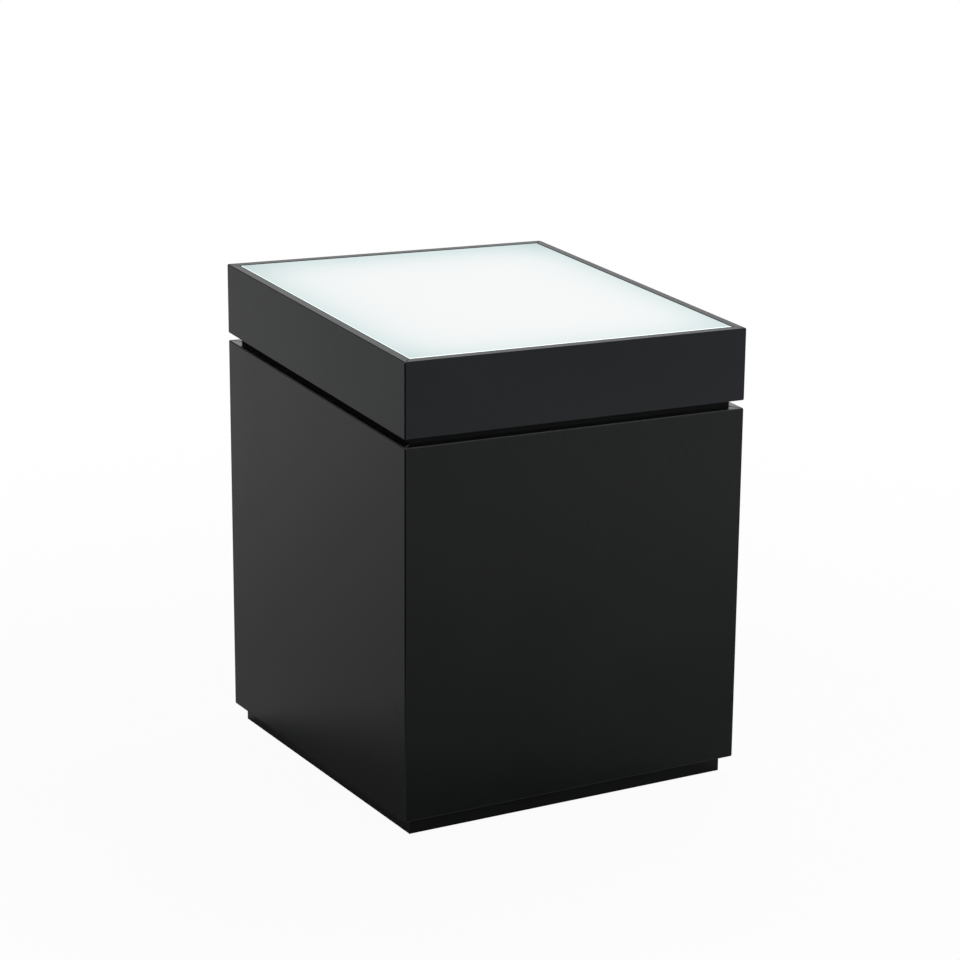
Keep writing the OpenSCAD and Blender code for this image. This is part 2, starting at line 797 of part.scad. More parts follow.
// Clips that hold the lamp lead to the back panel
module lead_clips() {
    color(WHITE_PAINT) for (z = [lamp_run_z[0] + lead_clip_h, lamp_run_z[1] - 2 * lead_clip_h])
        translate([services_x, back_y, z]) difference() {
            union() {
                translate([0, -clip_stand, 0]) cylinder(h = lead_clip_h, r = lamp_lead_d / 2 + 1.5);
                translate([-lamp_lead_d / 2 - 1.5, -clip_stand, 0])
                    cube([lamp_lead_d + 3, clip_stand, lead_clip_h]);
            }
            translate([0, -clip_stand, -1]) cylinder(h = lead_clip_h + 2, r = lamp_lead_d / 2 + hole_ease);
        }
}

// ---- Lit top ----

// One mitred rail, cut to the slope above and below
module top_rail(side) {
    color(LAMINATE) intersection() {
        linear_extrude(height = 2 * body_h) mitred_plan(side, body_w, body_d, board_t);
        sloping_layer(gap_h, top_level);
    }
}

// White board inside a rail: it stands on the collar and carries the glass
module top_liner(side) {
    color(WHITE_PAINT) intersection() {
        linear_extrude(height = 2 * body_h) mitred_plan(side, inner_w, inner_d, liner_t);
        sloping_layer(collar_top, liner_top);
    }
}

// Bedding tape along the top edges of the liner
module glass_tape() {
    inset = (liner_t - tape_w) / 2;
    under = -glass_t - tape_t;
    x = inner_w / 2 - inset;
    front = slope_y(board_t + inset, under);
    back = slope_y(body_d - board_t - inset, under);
    color(MILKY) on_slope(top_level) translate([0, 0, under]) {
        for (y = [front, back - tape_w]) translate([-x, y, 0]) cube([2 * x, tape_w, tape_t]);
        for (side = [0, 1]) mirror([side, 0, 0])
            translate([-x, front + tape_w + tape_gap, 0])
                cube([tape_w, back - front - 2 * (tape_w + tape_gap), tape_t]);
    }
}

// Frosted glass, laid in loose and flush with the rails
module glass_panel() {
    front = slope_y(board_t, 0) + glass_clear;
    back = slope_y(body_d - board_t, -glass_t) - glass_clear;
    x = inner_w / 2 - glass_clear;
    color(FROSTED) on_slope(top_level) translate([-x, front, -glass_t]) cube([2 * x, back - front, glass_t]);
}

front_panel();
back_panel();
left_panel();
right_panel();
bottom_panel();
deck_panel();
for (side = SIDES) plinth_board(side);
for (corner = CORNERS) corner_post(corner);
deck_battens();
for (side = SIDES) collar(side);
for (i = [1 : led_count]) led_channel(i);
for (i = [1 : led_count]) led_strip(i);
for (i = [1 : led_count]) led_cover(i);
led_end_caps();
led_clips();
led_clip_screws();
led_links();
deck_grommet();
lamp_lead();
mains_lead();
lead_clips();
driver_case();
driver_screws();
inlet_plate();
inlet_plate_screws();
inlet_housing();
inlet_pins();
rocker();
deck_screws();
collar_screws();
plinth_screws();
for (side = SIDES) top_rail(side);
for (side = SIDES) top_liner(side);
glass_tape();
glass_panel();
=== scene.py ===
"""A black laminated display pedestal with a lift-off, lit, frosted glass top.

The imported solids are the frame. Each section dresses one group of pieces, in the order they are
put together. Lengths are in metres unless a name ends in _mm or _MM.
"""

import math

import bmesh
import bpy
from mathutils import Matrix, Vector


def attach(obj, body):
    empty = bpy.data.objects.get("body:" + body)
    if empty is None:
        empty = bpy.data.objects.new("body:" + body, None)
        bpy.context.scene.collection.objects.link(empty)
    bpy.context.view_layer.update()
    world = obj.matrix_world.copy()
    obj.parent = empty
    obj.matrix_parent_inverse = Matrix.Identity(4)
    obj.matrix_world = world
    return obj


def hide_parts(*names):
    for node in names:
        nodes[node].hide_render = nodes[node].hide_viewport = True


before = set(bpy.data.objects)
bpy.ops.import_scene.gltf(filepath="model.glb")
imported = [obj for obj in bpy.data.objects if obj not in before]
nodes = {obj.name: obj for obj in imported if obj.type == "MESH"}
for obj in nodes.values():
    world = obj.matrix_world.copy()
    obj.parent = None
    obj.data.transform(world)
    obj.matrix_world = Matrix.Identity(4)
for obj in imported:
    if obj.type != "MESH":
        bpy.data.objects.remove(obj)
scene = bpy.context.scene
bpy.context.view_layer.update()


# ---- Plinth ----
# Four boards of black melamine-faced particle board, butted together under the cabinet and set
# back from its faces. The melamine is pressed on under heat against a plate with a fine emboss,
# so the black is satin: it mirrors the room softly, more so at a low angle.


def linear(hex_colour):
    """An sRGB hex colour as the linear colour that a shader takes."""
    channels = [int(hex_colour[k : k + 2], 16) / 255 for k in (1, 3, 5)]
    return [c / 12.92 if c <= 0.04045 else ((c + 0.055) / 1.055) ** 2.4 for c in channels] + [1.0]


def new_material(name):
    """An empty node material."""
    material = bpy.data.materials.new(name)
    material.use_nodes = True
    material.node_tree.nodes.clear()
    return material


def add_node(owner, kind, inputs=(), **settings):
    """A shader node with its settings. An input is a number, a colour or another node's output.

    A colour Mix takes its share at 0 and its two colours at 6 and 7, and gives the mix at 2.
    """
    node = owner.node_tree.nodes.new("ShaderNode" + kind)
    for name, value in settings.items():
        setattr(node, name, value)
    for socket, value in dict(inputs).items():
        if isinstance(value, bpy.types.NodeSocket):
            owner.node_tree.links.new(value, node.inputs[socket])
        else:
            node.inputs[socket].default_value = value
    return node


def dress(names, *materials):
    """Gives CAD nodes their materials, by slot."""
    for name in names:
        slots = nodes[name].data.materials
        slots.clear()
        for material in materials:
            slots.append(material)


# Points nearer to each other than this are one point
WELD_GAP = 0.00001


def soften(names, width_mm, slot=-1):
    """Rounds the sharp edges of CAD nodes. slot picks the material of the rounded strip."""
    for name in names:
        weld = nodes[name].modifiers.new("weld", "WELD")
        weld.merge_threshold = WELD_GAP
        bevel = nodes[name].modifiers.new("soft edges", "BEVEL")
        bevel.width = width_mm / 1000
        bevel.segments = 2
        bevel.limit_method = "ANGLE"
        bevel.angle_limit = math.radians(35)
        bevel.material = slot
        bevel.harden_normals = True


# Melamine laminate, pressed: near black, satin, with a fine pearl emboss and faint hand smears.
# The real emboss is about 0.3 mm across, so it is drawn 1.6 mm across to show at all. The boards'
# cut upper edges are banded with smooth black ABS strip, which mirrors the room at a low angle and
# is rubbed down to RUBBED_GLOSS of its gloss in places.
SMEAR_MM = 140
EMBOSS_MM = 1.6
BAND_RUB_MM = 25
RUBBED_GLOSS = 0.65


def pressed_laminate(name, dark, pale, band_gloss):
    """Laminate in a black that wanders from dark to pale, with the band's gloss where it faces up."""
    laminate = new_material(name)
    place = add_node(laminate, "TexCoord").outputs["Object"]
    smear = add_node(laminate, "TexNoise", {"Vector": place, "Scale": 1000 / SMEAR_MM,
                                            "Detail": 3.0})
    rough = add_node(laminate, "MapRange", {"Value": smear.outputs["Fac"], "From Min": 0.2,
                                            "From Max": 0.8, "To Min": 0.19, "To Max": 0.3})
    tone = add_node(laminate, "Mix", {0: smear.outputs["Fac"], 6: linear(dark), 7: linear(pale)},
                    data_type="RGBA")
    true_normal = add_node(laminate, "NewGeometry").outputs["True Normal"]
    normal = add_node(laminate, "SeparateXYZ", {0: true_normal})
    on_band = add_node(laminate, "MapRange", {"Value": normal.outputs["Z"], "From Min": 0.6,
                                              "From Max": 0.8})
    rub = add_node(laminate, "TexNoise", {"Vector": place, "Scale": 1000 / BAND_RUB_MM,
                                          "Detail": 3.0})
    rub_and_sheen = add_node(laminate, "MapRange", {
        "Value": rub.outputs["Fac"], "From Min": 0.3, "From Max": 0.7,
        "To Min": RUBBED_GLOSS * band_gloss, "To Max": band_gloss})
    gloss = add_node(laminate, "Math", {0: on_band.outputs[0], 1: rub_and_sheen.outputs[0]},
                     operation="MULTIPLY")
    emboss = add_node(laminate, "TexNoise", {"Vector": place, "Scale": 1000 / EMBOSS_MM,
                                             "Detail": 1.0})
    bump = add_node(laminate, "Bump", {"Height": emboss.outputs["Fac"], "Strength": 0.12,
                                       "Distance": 0.0001})
    skin = add_node(laminate, "BsdfPrincipled", {
        "Base Color": tone.outputs[2], "Roughness": rough.outputs[0], "IOR": 1.5,
        "Specular IOR Level": 0.15, "Normal": bump.outputs[0], "Coat Weight": gloss.outputs[0],
        "Coat Roughness": 0.12, "Coat IOR": 1.5})
    add_node(laminate, "OutputMaterial", {"Surface": skin.outputs[0]})
    return laminate


laminate = pressed_laminate("black_melamine_laminate", "#0a0b0c", "#101213", 1.0)

# Arris of a laminated board, where the core and the glue line meet the face: dull black, with a paler
# tone painted on as painted light, uneven in small patches
ARRIS_PATCH_MM = 9


def board_arris(name, black, rub_and_sheen, painted_light_share):
    """The dull arris. The last argument makes, from the normal, the 0 to 1 share of the paler tone,
    which is painted light.
    """
    arris = new_material(name)
    place = add_node(arris, "TexCoord").outputs["Object"]
    true_normal = add_node(arris, "NewGeometry").outputs["True Normal"]
    normal = add_node(arris, "SeparateXYZ", {0: true_normal})
    patch = add_node(arris, "TexNoise", {"Vector": place, "Scale": 1000 / ARRIS_PATCH_MM,
                                         "Detail": 3.0})
    patchy = add_node(arris, "MapRange", {"Value": patch.outputs["Fac"], "From Min": 0.3,
                                          "From Max": 0.7, "To Min": 0.7, "To Max": 1.0})
    share = add_node(arris, "Math", {0: painted_light_share(arris, normal), 1: patchy.outputs[0]},
                     operation="MULTIPLY")
    tone = add_node(arris, "Mix", {0: share.outputs[0], 6: linear(black), 7: linear(rub_and_sheen)},
                    data_type="RGBA")
    rough = add_node(arris, "MapRange", {"Value": share.outputs[0], "To Min": 0.9, "To Max": 0.5})
    skin = add_node(arris, "BsdfPrincipled", {
        "Base Color": tone.outputs[2], "Roughness": rough.outputs[0], "IOR": 1.4,
        "Specular IOR Level": 0.1})
    add_node(arris, "OutputMaterial", {"Surface": skin.outputs[0]})
    return arris


SIDES = ("front", "back", "left", "right")
PLINTH = ["plinth_" + side for side in SIDES]
dress(PLINTH, laminate)
soften(PLINTH, width_mm=0.5)


# ---- Cabinet ----
# Four mitred walls and a floor of the same board, glued round pine corner posts. At each mitre
# the two faces meet in a fine dull line, and the cut top edges are banded in black.

# The arris is painted paler below the first height, and most below the second, as painted light from
# the floor
ARRIS_MM = 1.6
FLOOR_LIGHT_FROM, FLOOR_LIGHT_FULL = 0.33, 0.09


def painted_top_highlight_and_floor_light(arris, normal):
    """Painted highlight where it faces up, and half as pale low down, as painted light from the
    floor.
    """
    painted_top_highlight = add_node(arris, "MapRange", {"Value": normal.outputs["Z"], "From Min": 0.2,
                                           "From Max": 0.6})
    place = add_node(arris, "SeparateXYZ", {0: add_node(arris, "TexCoord").outputs["Object"]})
    painted_floor_light = add_node(arris, "MapRange", {"Value": place.outputs["Z"], "From Min": FLOOR_LIGHT_FROM,
                                           "From Max": FLOOR_LIGHT_FULL, "To Max": 0.5})
    return add_node(arris, "Math", {0: painted_top_highlight.outputs[0], 1: painted_floor_light.outputs[0]},
                    operation="MAXIMUM").outputs[0]


# The walls' arris: dull black, with a painted highlight along its upper edges and painted floor light
# low down
wall_arris = board_arris("black_arris_painted_highlight", "#050505", "#4a4b4c", painted_top_highlight_and_floor_light)
WALLS = [side + "_panel" for side in SIDES]
dress(WALLS, laminate, wall_arris)
soften(WALLS, ARRIS_MM, slot=1)
dress(["bottom_panel"], laminate)
soften(["bottom_panel"], width_mm=0.5)

# Planed pine: pale early wood with darker late-wood lines about 4 mm apart, along the grain
pine = new_material("planed_pine")
GRAIN_MM = 4
ALONG_GRAIN = 0.04
pine_place = add_node(pine, "Mapping", {"Vector": add_node(pine, "TexCoord").outputs["Object"],
                                        "Scale": (1.0, 1.0, ALONG_GRAIN)})
rings = add_node(pine, "TexNoise", {"Vector": pine_place.outputs[0], "Scale": 1000 / GRAIN_MM,
                                    "Detail": 4.0, "Roughness": 0.6})
pine_tone = add_node(pine, "Mix", {0: rings.outputs["Fac"], 6: linear("#a9814f"),
                                   7: linear("#dcbd8c")}, data_type="RGBA")
pine_bump = add_node(pine, "Bump", {"Height": rings.outputs["Fac"], "Strength": 0.2,
                                    "Distance": 0.0002})
pine_skin = add_node(pine, "BsdfPrincipled", {
    "Base Color": pine_tone.outputs[2], "Roughness": 0.65, "IOR": 1.5,
    "Normal": pine_bump.outputs[0]})
add_node(pine, "OutputMaterial", {"Surface": pine_skin.outputs[0]})

CORNERS = ("front_left", "front_right", "back_left", "back_right")
POSTS = ["corner_post_" + corner for corner in CORNERS]
dress(POSTS + ["deck_battens"], pine)
# The posts' edges are eased, and the battens keep their sawn ones, which touch at the corners
soften(POSTS, width_mm=0.6)


# ---- Deck ----
# The cabinet's sloping top, of the same board, painted white on top to throw the lamps' light
# back up. Zinc-plated countersunk screws hold it down to the battens.

# White emulsion, rolled: flat and bright, with the roller's low stipple about 3 mm across, and
# faintly cloudy where the coats are thin. Where it stops, the board's own black shows.
STIPPLE_MM = 3
CLOUD_MM = 110
BARE_BOARD = "#131415"


def painted_share(owner, place, half_size):
    """1 within half_size of the middle in X and Y, where a board is painted white, and 0 beyond."""
    axes = add_node(owner, "SeparateXYZ", {0: place})
    within = []
    for axis, half in zip("XY", half_size):
        away = add_node(owner, "Math", {0: axes.outputs[axis]}, operation="ABSOLUTE")
        within.append(add_node(owner, "Math", {0: away.outputs[0], 1: half},
                               operation="LESS_THAN").outputs[0])
    return add_node(owner, "Math", {0: within[0], 1: within[1]}, operation="MULTIPLY").outputs[0]


def rolled_white(name, half_size=None):
    """The white paint. half_size is how far it reaches in X and Y, and the board is black beyond."""
    paint = new_material(name)
    place = add_node(paint, "TexCoord").outputs["Object"]
    stipple = add_node(paint, "TexNoise", {"Vector": place, "Scale": 1000 / STIPPLE_MM,
                                           "Detail": 2.0})
    bump = add_node(paint, "Bump", {"Height": stipple.outputs["Fac"], "Strength": 0.25,
                                    "Distance": 0.0003})
    cloud = add_node(paint, "TexNoise", {"Vector": place, "Scale": 1000 / CLOUD_MM, "Detail": 2.0})
    tone = add_node(paint, "Mix", {0: cloud.outputs["Fac"], 6: linear("#e2e2de"),
                                   7: linear("#eeeeea")}, data_type="RGBA")
    if half_size:
        tone = add_node(paint, "Mix", {0: painted_share(paint, place, half_size),
                                       6: linear(BARE_BOARD), 7: tone.outputs[2]}, data_type="RGBA")
    skin = add_node(paint, "BsdfPrincipled", {
        "Base Color": tone.outputs[2], "Roughness": 0.7, "IOR": 1.5, "Specular IOR Level": 0.1,
        "Normal": bump.outputs[0]})
    add_node(paint, "OutputMaterial", {"Surface": skin.outputs[0]})
    return paint


# The paint stops under the collar, so the deck's rim in the shadow gap stays black
DECK_PAINTED = (0.282, 0.2945)
dress(["deck_panel"], rolled_white("rolled_white_paint_on_black_board", DECK_PAINTED))
soften(["deck_panel"], width_mm=0.4)

# Zinc-plated steel, tumbled: a cool soft shine with dull patches about 1 mm across
zinc = new_material("zinc_plated_steel")
ZINC_PATCH_MM = 1.1
zinc_patch = add_node(zinc, "TexNoise", {"Vector": add_node(zinc, "TexCoord").outputs["Object"],
                                         "Scale": 1000 / ZINC_PATCH_MM, "Detail": 3.0})
zinc_rough = add_node(zinc, "MapRange", {"Value": zinc_patch.outputs["Fac"], "To Min": 0.22,
                                         "To Max": 0.46})
zinc_tone = add_node(zinc, "Mix", {0: zinc_patch.outputs["Fac"], 6: linear("#9a9ea3"),
                                   7: linear("#c3c6c8")}, data_type="RGBA")
zinc_skin = add_node(zinc, "BsdfPrincipled", {"Base Color": zinc_tone.outputs[2], "Metallic": 1.0,
                                              "Roughness": zinc_rough.outputs[0]})
add_node(zinc, "OutputMaterial", {"Surface": zinc_skin.outputs[0]})

# The cross's half length, half width and depth as shares of the head's diameter, what is left of
# its length and width at the bottom, and how far the cutter stands out of the head
CROSS_ARM, CROSS_WIDTH, CROSS_DEPTH = 0.3, 0.075, 0.28
ARM_LEFT, WIDTH_LEFT = 0.35, 0.6
CUTTER_PROUD = 0.001


def recess_mesh(head_d, axis, head_centre):
    """A cutter for one cross recess: two crossing wedges that narrow downwards."""
    arm, width, depth = head_d * CROSS_ARM, head_d * CROSS_WIDTH, head_d * CROSS_DEPTH
    outline = ((-arm, -width), (arm, -width), (arm, width), (-arm, width))
    across = axis.orthogonal().normalized()
    frame_of_head = Matrix((across, axis.cross(across), axis)).transposed().to_4x4()
    frame_of_head.translation = head_centre
    cutter = bmesh.new()
    for turn in (0.0, math.pi / 2):
        above = [(x, y, CUTTER_PROUD) for x, y in outline]
        below = [(x * ARM_LEFT, y * WIDTH_LEFT, -depth) for x, y in outline]
        turned = Matrix.Rotation(turn, 3, "Z")
        corners = [cutter.verts.new(turned @ Vector(p)) for p in above + below]
        cutter.faces.new(corners[:4])
        cutter.faces.new(corners[:3:-1])
        for k in range(4):
            n = (k + 1) % 4
            cutter.faces.new((corners[k], corners[k + 4], corners[n + 4], corners[n]))
    bmesh.ops.transform(cutter, matrix=frame_of_head, verts=cutter.verts)
    bmesh.ops.recalc_face_normals(cutter, faces=cutter.faces)
    return cutter


def screw_islands(mesh):
    """The points of each separate screw in a welded mesh, in the mesh's own order."""
    seen = set()
    for first in mesh.verts:
        if first in seen:
            continue
        seen.add(first)
        stack, found = [first], []
        while stack:
            vert = stack.pop()
            found.append(vert.co.copy())
            for edge in vert.link_edges:
                other = edge.other_vert(vert)
                if other not in seen:
                    seen.add(other)
                    stack.append(other)
        yield found


def recessed_screws(name, head_d_mm):
    """Stands for a node of screws with the same screws, each with a cross cut in its head."""
    shape = bmesh.new()
    shape.from_mesh(nodes[name].data)
    bmesh.ops.remove_doubles(shape, verts=shape.verts, dist=WELD_GAP)
    cutters = bpy.data.meshes.new(name + "_recesses")
    whole = bmesh.new()
    for points in screw_islands(shape):
        middle = sum(points, Vector()) / len(points)
        tip = max(points, key=lambda p: (p - middle).length)
        axis = (middle - tip).normalized()
        top = max((p - tip).dot(axis) for p in points)
        cross = recess_mesh(head_d_mm / 1000, axis, tip + axis * top)
        part = bpy.data.meshes.new("recess")
        cross.to_mesh(part)
        whole.from_mesh(part)
        cross.free()
        bpy.data.meshes.remove(part)
    whole.to_mesh(cutters)
    whole.free()
    mesh = bpy.data.meshes.new(name + "_recessed")
    shape.to_mesh(mesh)
    shape.free()
    screws = bpy.data.objects.new(name + "_recessed", mesh)
    cutter = bpy.data.objects.new(name + "_cutter", cutters)
    for made in (screws, cutter):
        scene.collection.objects.link(made)
    cut = screws.modifiers.new("recess", "BOOLEAN")
    cut.object = cutter
    cut.solver = "EXACT"
    cut.use_self = True
    bpy.context.view_layer.update()
    evaluated = screws.evaluated_get(bpy.context.evaluated_depsgraph_get())
    result = bpy.data.meshes.new_from_object(evaluated)
    screws.modifiers.clear()
    screws.data = result
    bpy.data.objects.remove(cutter)
    bpy.data.meshes.remove(cutters)
    bpy.data.meshes.remove(mesh)
    result.materials.clear()
    result.materials.append(zinc)
    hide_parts(name)
    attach(screws, "cabinet")


recessed_screws("deck_screws", head_d_mm=8)
recessed_screws("plinth_screws", head_d_mm=8)


# ---- Collar ----
# Four black laminated boards that stand on the deck, screwed up from below. They fill the shadow
# gap and locate the lit top. Inside, where the lamps shine on them, they are painted as the deck.

# Half the clear space inside the collar, from side to side and from front to back
COLLAR_INSIDE = (0.2764, 0.2889)
COLLAR = ["collar_" + side for side in SIDES]
dress(COLLAR, rolled_white("black_board_painted_white_inside", COLLAR_INSIDE))
soften(COLLAR, width_mm=0.5)
recessed_screws("collar_screws", head_d_mm=8)


# ---- LED bars ----
# Four bars across the deck. Each is an extruded aluminium channel that snaps into two spring-steel
# clips, with an LED strip stuck along its floor and a milky cover snapped in above it.

# Aluminium, extruded and natural anodised: pale and satin, with fine die lines along the bar, drawn
# 0.8 mm apart to show
aluminium = new_material("anodised_aluminium_extrusion")
DIE_LINE_MM = 0.8
ALONG_DIE_LINE = 0.01
line_place = add_node(aluminium, "Mapping", {
    "Vector": add_node(aluminium, "TexCoord").outputs["Object"], "Scale": (ALONG_DIE_LINE, 1.0, 1.0)})
die_lines = add_node(aluminium, "TexNoise", {"Vector": line_place.outputs[0],
                                             "Scale": 1000 / DIE_LINE_MM, "Detail": 2.0})
line_rough = add_node(aluminium, "MapRange", {"Value": die_lines.outputs["Fac"], "To Min": 0.28,
                                              "To Max": 0.44})
line_bump = add_node(aluminium, "Bump", {"Height": die_lines.outputs["Fac"], "Strength": 0.1,
                                         "Distance": 0.00005})
die_tone = add_node(aluminium, "Mix", {0: die_lines.outputs["Fac"], 6: linear("#bbbdc0"),
                                       7: linear("#cfd1d2")}, data_type="RGBA")
aluminium_skin = add_node(aluminium, "BsdfPrincipled", {
    "Base Color": die_tone.outputs[2], "Metallic": 1.0, "Roughness": line_rough.outputs[0],
    "Normal": line_bump.outputs[0]})
add_node(aluminium, "OutputMaterial", {"Surface": aluminium_skin.outputs[0]})
BARS = range(1, 5)
CHANNELS = ["led_channel_%d" % i for i in BARS]
dress(CHANNELS, aluminium)
soften(CHANNELS, width_mm=0.15)

# Circuit strip: white solder mask, uneven in gloss every few millimetres, with a yellow phosphor
# square on top of each LED. The strips lie in the slope of the cabinet's top, and an LED's top is
# more than CHIP_TOP above that slope.
led_strip = new_material("white_mask_led_strip")
MASK_GRAIN_MM = 2.5
DEPTH, RISE, FRONT_TOP = 0.635, 0.058, 0.614
SLOPE = math.atan(RISE / DEPTH)
CHIP_TOP = 0.0045
strip_place = add_node(led_strip, "Mapping", {
    "Vector": add_node(led_strip, "TexCoord").outputs["Object"],
    "Location": (0.0, -DEPTH / 2, FRONT_TOP), "Rotation": (SLOPE, 0.0, 0.0)}, vector_type="TEXTURE")
strip_axes = add_node(led_strip, "SeparateXYZ", {0: strip_place.outputs[0]})
on_chip = add_node(led_strip, "Math", {0: strip_axes.outputs["Z"], 1: CHIP_TOP},
                   operation="GREATER_THAN")
strip_tone = add_node(led_strip, "Mix", {0: on_chip.outputs[0], 6: linear("#e9eae6"),
                                         7: linear("#e8d36a")}, data_type="RGBA")
mask_grain = add_node(led_strip, "TexNoise", {
    "Vector": add_node(led_strip, "TexCoord").outputs["Object"], "Scale": 1000 / MASK_GRAIN_MM,
    "Detail": 2.0})
mask_rough = add_node(led_strip, "MapRange", {"Value": mask_grain.outputs["Fac"], "To Min": 0.35,
                                              "To Max": 0.55})
strip_skin = add_node(led_strip, "BsdfPrincipled", {
    "Base Color": strip_tone.outputs[2], "Roughness": mask_rough.outputs[0], "IOR": 1.5})
add_node(led_strip, "OutputMaterial", {"Surface": strip_skin.outputs[0]})
dress(["led_strip_%d" % i for i in BARS], led_strip)

# Milky polycarbonate, extruded: it hides the LEDs and glows almost evenly, a little greenish
milky = new_material("milky_polycarbonate_cover")
HAZE_MM = 16.7
milky_haze = add_node(milky, "TexNoise", {"Vector": add_node(milky, "TexCoord").outputs["Object"],
                                          "Scale": 1000 / HAZE_MM, "Detail": 2.0})
milky_tone = add_node(milky, "Mix", {0: milky_haze.outputs["Fac"], 6: linear("#e9f0ed"),
                                     7: linear("#f6faf8")}, data_type="RGBA")
milky_skin = add_node(milky, "BsdfPrincipled", {
    "Base Color": linear("#6f7674"), "Roughness": 0.4, "IOR": 1.58,
    "Emission Color": milky_tone.outputs[2], "Emission Strength": 0.8})
add_node(milky, "OutputMaterial", {"Surface": milky_skin.outputs[0]})
dress(["led_cover_%d" % i for i in BARS], milky)

# White ABS, moulded: the end caps and the lead clips, satin, with a mould texture that is drawn
# 0.6 mm across to show, and faint flow marks
white_abs = new_material("white_moulded_abs")
MOULD_GRAIN_MM = 0.625
FLOW_MM = 11
abs_grain = add_node(white_abs, "TexNoise", {
    "Vector": add_node(white_abs, "TexCoord").outputs["Object"], "Scale": 1000 / MOULD_GRAIN_MM,
    "Detail": 2.0})
abs_bump = add_node(white_abs, "Bump", {"Height": abs_grain.outputs["Fac"], "Strength": 0.15,
                                        "Distance": 0.0001})
abs_flow = add_node(white_abs, "TexNoise", {
    "Vector": add_node(white_abs, "TexCoord").outputs["Object"], "Scale": 1000 / FLOW_MM,
    "Detail": 2.0})
abs_tone = add_node(white_abs, "Mix", {0: abs_flow.outputs["Fac"], 6: linear("#e1e1dd"),
                                       7: linear("#eaeae7")}, data_type="RGBA")
white_abs_skin = add_node(white_abs, "BsdfPrincipled", {
    "Base Color": abs_tone.outputs[2], "Roughness": 0.42, "IOR": 1.53,
    "Normal": abs_bump.outputs[0]})
add_node(white_abs, "OutputMaterial", {"Surface": white_abs_skin.outputs[0]})
dress(["led_end_caps", "lead_clips"], white_abs)
soften(["led_end_caps"], width_mm=0.25)

# Spring steel, rolled and bright: fine rolling lines across the clip, drawn 0.7 mm apart to show
spring_steel = new_material("bright_spring_steel")
ROLL_LINE_MM = 0.7
ALONG_ROLL_LINE = 0.05
roll_place = add_node(spring_steel, "Mapping", {
    "Vector": add_node(spring_steel, "TexCoord").outputs["Object"],
    "Scale": (1.0, ALONG_ROLL_LINE, 1.0)})
roll_lines = add_node(spring_steel, "TexNoise", {"Vector": roll_place.outputs[0],
                                                 "Scale": 1000 / ROLL_LINE_MM, "Detail": 2.0})
roll_rough = add_node(spring_steel, "MapRange", {"Value": roll_lines.outputs["Fac"], "To Min": 0.18,
                                                 "To Max": 0.36})
roll_tone = add_node(spring_steel, "Mix", {0: roll_lines.outputs["Fac"], 6: linear("#a9abae"),
                                           7: linear("#bec0c3")}, data_type="RGBA")
spring_skin = add_node(spring_steel, "BsdfPrincipled", {
    "Base Color": roll_tone.outputs[2], "Metallic": 1.0, "Roughness": roll_rough.outputs[0]})
add_node(spring_steel, "OutputMaterial", {"Surface": spring_skin.outputs[0]})
dress(["led_clips"], spring_steel)
recessed_screws("led_clip_screws", head_d_mm=6)

# PVC sheath, extruded: white on the lamps' leads, faintly rippled along its length
white_pvc = new_material("white_pvc_sheath")
RIPPLE_MM = 4
ripple = add_node(white_pvc, "TexNoise", {
    "Vector": add_node(white_pvc, "TexCoord").outputs["Object"], "Scale": 1000 / RIPPLE_MM,
    "Detail": 1.0})
ripple_bump = add_node(white_pvc, "Bump", {"Height": ripple.outputs["Fac"], "Strength": 0.2,
                                           "Distance": 0.0003})
sheath_tone = add_node(white_pvc, "Mix", {0: ripple.outputs["Fac"], 6: linear("#d8d8d3"),
                                          7: linear("#e3e3e0")}, data_type="RGBA")
white_pvc_skin = add_node(white_pvc, "BsdfPrincipled", {
    "Base Color": sheath_tone.outputs[2], "Roughness": 0.38, "IOR": 1.53,
    "Normal": ripple_bump.outputs[0]})
add_node(white_pvc, "OutputMaterial", {"Surface": white_pvc_skin.outputs[0]})
dress(["led_links", "lamp_lead"], white_pvc)


# ---- Supply ----
# A three-pin appliance inlet and a rocker switch sit in a cut-out of the back panel, on a steel
# plate screwed on from inside. A lead runs from them to the LED driver, and on up to the lamps.

# Powder-coated steel: black, with the coating's orange-peel skin about 1.5 mm across
powder_coat = new_material("black_powder_coat")
PEEL_MM = 1.5
peel = add_node(powder_coat, "TexNoise", {
    "Vector": add_node(powder_coat, "TexCoord").outputs["Object"], "Scale": 1000 / PEEL_MM,
    "Detail": 1.0})
peel_bump = add_node(powder_coat, "Bump", {"Height": peel.outputs["Fac"], "Strength": 0.3,
                                           "Distance": 0.0002})
peel_tone = add_node(powder_coat, "Mix", {0: peel.outputs["Fac"], 6: linear("#131316"),
                                          7: linear("#1c1c1f")}, data_type="RGBA")
powder_skin = add_node(powder_coat, "BsdfPrincipled", {
    "Base Color": peel_tone.outputs[2], "Roughness": 0.5, "IOR": 1.5,
    "Normal": peel_bump.outputs[0]})
add_node(powder_coat, "OutputMaterial", {"Surface": powder_skin.outputs[0]})
dress(["inlet_plate"], powder_coat)
soften(["inlet_plate"], width_mm=0.3)
recessed_screws("inlet_plate_screws", head_d_mm=6)

